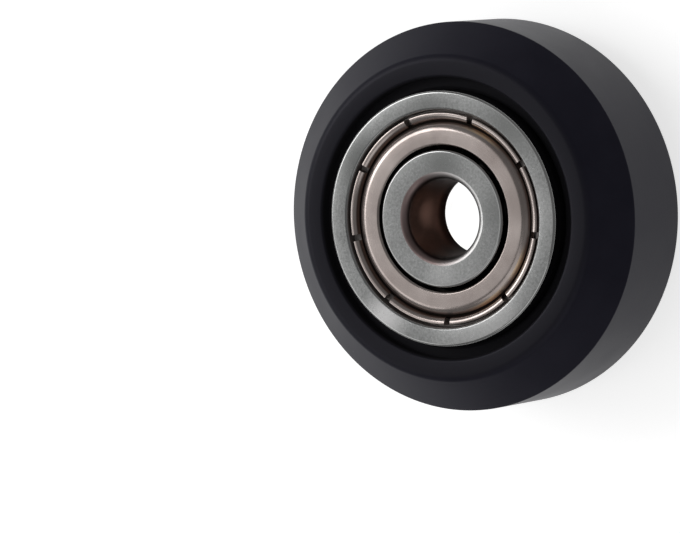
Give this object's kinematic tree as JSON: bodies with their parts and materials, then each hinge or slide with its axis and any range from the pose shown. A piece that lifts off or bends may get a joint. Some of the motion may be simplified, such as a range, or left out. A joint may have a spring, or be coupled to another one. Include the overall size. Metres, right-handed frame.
{
  "type": "v groove wheel",
  "caption": "Black plastic guide wheel with bevelled V rim and flat land, turning on two shielded ball bearings with a shim between them.",
  "frame": {"origin": "centre of the wheel on its axle line, midway between the two bearings", "axes": "+Z along the axle, out of the front bearing; the wheel lies on its side, on the back bearing's face"},
  "size_m": [0.0244, 0.0244, 0.011],
  "materials": {
    "black_acetal": "satin black turned acetal",
    "ground_steel": "finely ground bearing steel",
    "pressed_steel": "pressed sheet steel, slightly warm",
    "cage_steel": "pressed ribbon, dull",
    "ball_steel": "polished",
    "shim_steel": "rolled strip"
  },
  "bodies": {
    "inner_rings": {"front_inner_ring": "ground_steel", "back_inner_ring": "ground_steel", "spacer_shim": "shim_steel"},
    "wheel": {"vee_wheel": "black_acetal", "front_outer_ring": "ground_steel", "front_outer_shield": "pressed_steel", "front_inner_shield": "pressed_steel", "back_outer_ring": "ground_steel", "back_outer_shield": "pressed_steel", "back_inner_shield": "pressed_steel"},
    "front_cage": {"front_cage_outer_half": "cage_steel", "front_cage_inner_half": "cage_steel"},
    "front_ball_1": {"front_ball_1": "ball_steel"},
    "front_ball_2": {"front_ball_2": "ball_steel"},
    "front_ball_3": {"front_ball_3": "ball_steel"},
    "front_ball_4": {"front_ball_4": "ball_steel"},
    "front_ball_5": {"front_ball_5": "ball_steel"},
    "front_ball_6": {"front_ball_6": "ball_steel"},
    "front_ball_7": {"front_ball_7": "ball_steel"},
    "front_ball_8": {"front_ball_8": "ball_steel"},
    "back_cage": {"back_cage_outer_half": "cage_steel", "back_cage_inner_half": "cage_steel"},
    "back_ball_1": {"back_ball_1": "ball_steel"},
    "back_ball_2": {"back_ball_2": "ball_steel"},
    "back_ball_3": {"back_ball_3": "ball_steel"},
    "back_ball_4": {"back_ball_4": "ball_steel"},
    "back_ball_5": {"back_ball_5": "ball_steel"},
    "back_ball_6": {"back_ball_6": "ball_steel"},
    "back_ball_7": {"back_ball_7": "ball_steel"},
    "back_ball_8": {"back_ball_8": "ball_steel"}
  },
  "joints": [
    {"name": "wheel_spin", "type": "hinge", "parent": "inner_rings", "child": "wheel", "pos_m": [0, 0, 0], "axis": [0, 0, 1], "continuous": true},
    {"name": "front_cage_orbit", "type": "hinge", "parent": "inner_rings", "child": "front_cage", "pos_m": [0, 0, 0.003], "axis": [0, 0, 1], "continuous": true},
    {"name": "front_ball_1_spin", "type": "hinge", "parent": "front_cage", "child": "front_ball_1", "pos_m": [0.00525, 0, 0.003], "axis": [0, 0, 1], "continuous": true},
    {"name": "front_ball_2_spin", "type": "hinge", "parent": "front_cage", "child": "front_ball_2", "pos_m": [0.00371, 0.00371, 0.003], "axis": [0, 0, 1], "continuous": true},
    {"name": "front_ball_3_spin", "type": "hinge", "parent": "front_cage", "child": "front_ball_3", "pos_m": [0, 0.00525, 0.003], "axis": [0, 0, 1], "continuous": true},
    {"name": "front_ball_4_spin", "type": "hinge", "parent": "front_cage", "child": "front_ball_4", "pos_m": [-0.00371, 0.00371, 0.003], "axis": [0, 0, 1], "continuous": true},
    {"name": "front_ball_5_spin", "type": "hinge", "parent": "front_cage", "child": "front_ball_5", "pos_m": [-0.00525, 0, 0.003], "axis": [0, 0, 1], "continuous": true},
    {"name": "front_ball_6_spin", "type": "hinge", "parent": "front_cage", "child": "front_ball_6", "pos_m": [-0.00371, -0.00371, 0.003], "axis": [0, 0, 1], "continuous": true},
    {"name": "front_ball_7_spin", "type": "hinge", "parent": "front_cage", "child": "front_ball_7", "pos_m": [0, -0.00525, 0.003], "axis": [0, 0, 1], "continuous": true},
    {"name": "front_ball_8_spin", "type": "hinge", "parent": "front_cage", "child": "front_ball_8", "pos_m": [0.00371, -0.00371, 0.003], "axis": [0, 0, 1], "continuous": true},
    {"name": "back_cage_orbit", "type": "hinge", "parent": "inner_rings", "child": "back_cage", "pos_m": [0, 0, -0.003], "axis": [0, 0, 1], "continuous": true},
    {"name": "back_ball_1_spin", "type": "hinge", "parent": "back_cage", "child": "back_ball_1", "pos_m": [0.00525, 0, -0.003], "axis": [0, 0, 1], "continuous": true},
    {"name": "back_ball_2_spin", "type": "hinge", "parent": "back_cage", "child": "back_ball_2", "pos_m": [0.00371, 0.00371, -0.003], "axis": [0, 0, 1], "continuous": true},
    {"name": "back_ball_3_spin", "type": "hinge", "parent": "back_cage", "child": "back_ball_3", "pos_m": [0, 0.00525, -0.003], "axis": [0, 0, 1], "continuous": true},
    {"name": "back_ball_4_spin", "type": "hinge", "parent": "back_cage", "child": "back_ball_4", "pos_m": [-0.00371, 0.00371, -0.003], "axis": [0, 0, 1], "continuous": true},
    {"name": "back_ball_5_spin", "type": "hinge", "parent": "back_cage", "child": "back_ball_5", "pos_m": [-0.00525, 0, -0.003], "axis": [0, 0, 1], "continuous": true},
    {"name": "back_ball_6_spin", "type": "hinge", "parent": "back_cage", "child": "back_ball_6", "pos_m": [-0.00371, -0.00371, -0.003], "axis": [0, 0, 1], "continuous": true},
    {"name": "back_ball_7_spin", "type": "hinge", "parent": "back_cage", "child": "back_ball_7", "pos_m": [0, -0.00525, -0.003], "axis": [0, 0, 1], "continuous": true},
    {"name": "back_ball_8_spin", "type": "hinge", "parent": "back_cage", "child": "back_ball_8", "pos_m": [0.00371, -0.00371, -0.003], "axis": [0, 0, 1], "continuous": true}
  ],
  "couplings": [
    {"joint": "front_cage_orbit", "follows": "wheel_spin", "ratio": 0.61338},
    {"joint": "front_ball_1_spin", "follows": "wheel_spin", "ratio": 2.0916},
    {"joint": "front_ball_2_spin", "follows": "wheel_spin", "ratio": 2.0916},
    {"joint": "front_ball_3_spin", "follows": "wheel_spin", "ratio": 2.0916},
    {"joint": "front_ball_4_spin", "follows": "wheel_spin", "ratio": 2.0916},
    {"joint": "front_ball_5_spin", "follows": "wheel_spin", "ratio": 2.0916},
    {"joint": "front_ball_6_spin", "follows": "wheel_spin", "ratio": 2.0916},
    {"joint": "front_ball_7_spin", "follows": "wheel_spin", "ratio": 2.0916},
    {"joint": "front_ball_8_spin", "follows": "wheel_spin", "ratio": 2.0916},
    {"joint": "back_cage_orbit", "follows": "wheel_spin", "ratio": 0.61338},
    {"joint": "back_ball_1_spin", "follows": "wheel_spin", "ratio": 2.0916},
    {"joint": "back_ball_2_spin", "follows": "wheel_spin", "ratio": 2.0916},
    {"joint": "back_ball_3_spin", "follows": "wheel_spin", "ratio": 2.0916},
    {"joint": "back_ball_4_spin", "follows": "wheel_spin", "ratio": 2.0916},
    {"joint": "back_ball_5_spin", "follows": "wheel_spin", "ratio": 2.0916},
    {"joint": "back_ball_6_spin", "follows": "wheel_spin", "ratio": 2.0916},
    {"joint": "back_ball_7_spin", "follows": "wheel_spin", "ratio": 2.0916},
    {"joint": "back_ball_8_spin", "follows": "wheel_spin", "ratio": 2.0916}
  ]
}
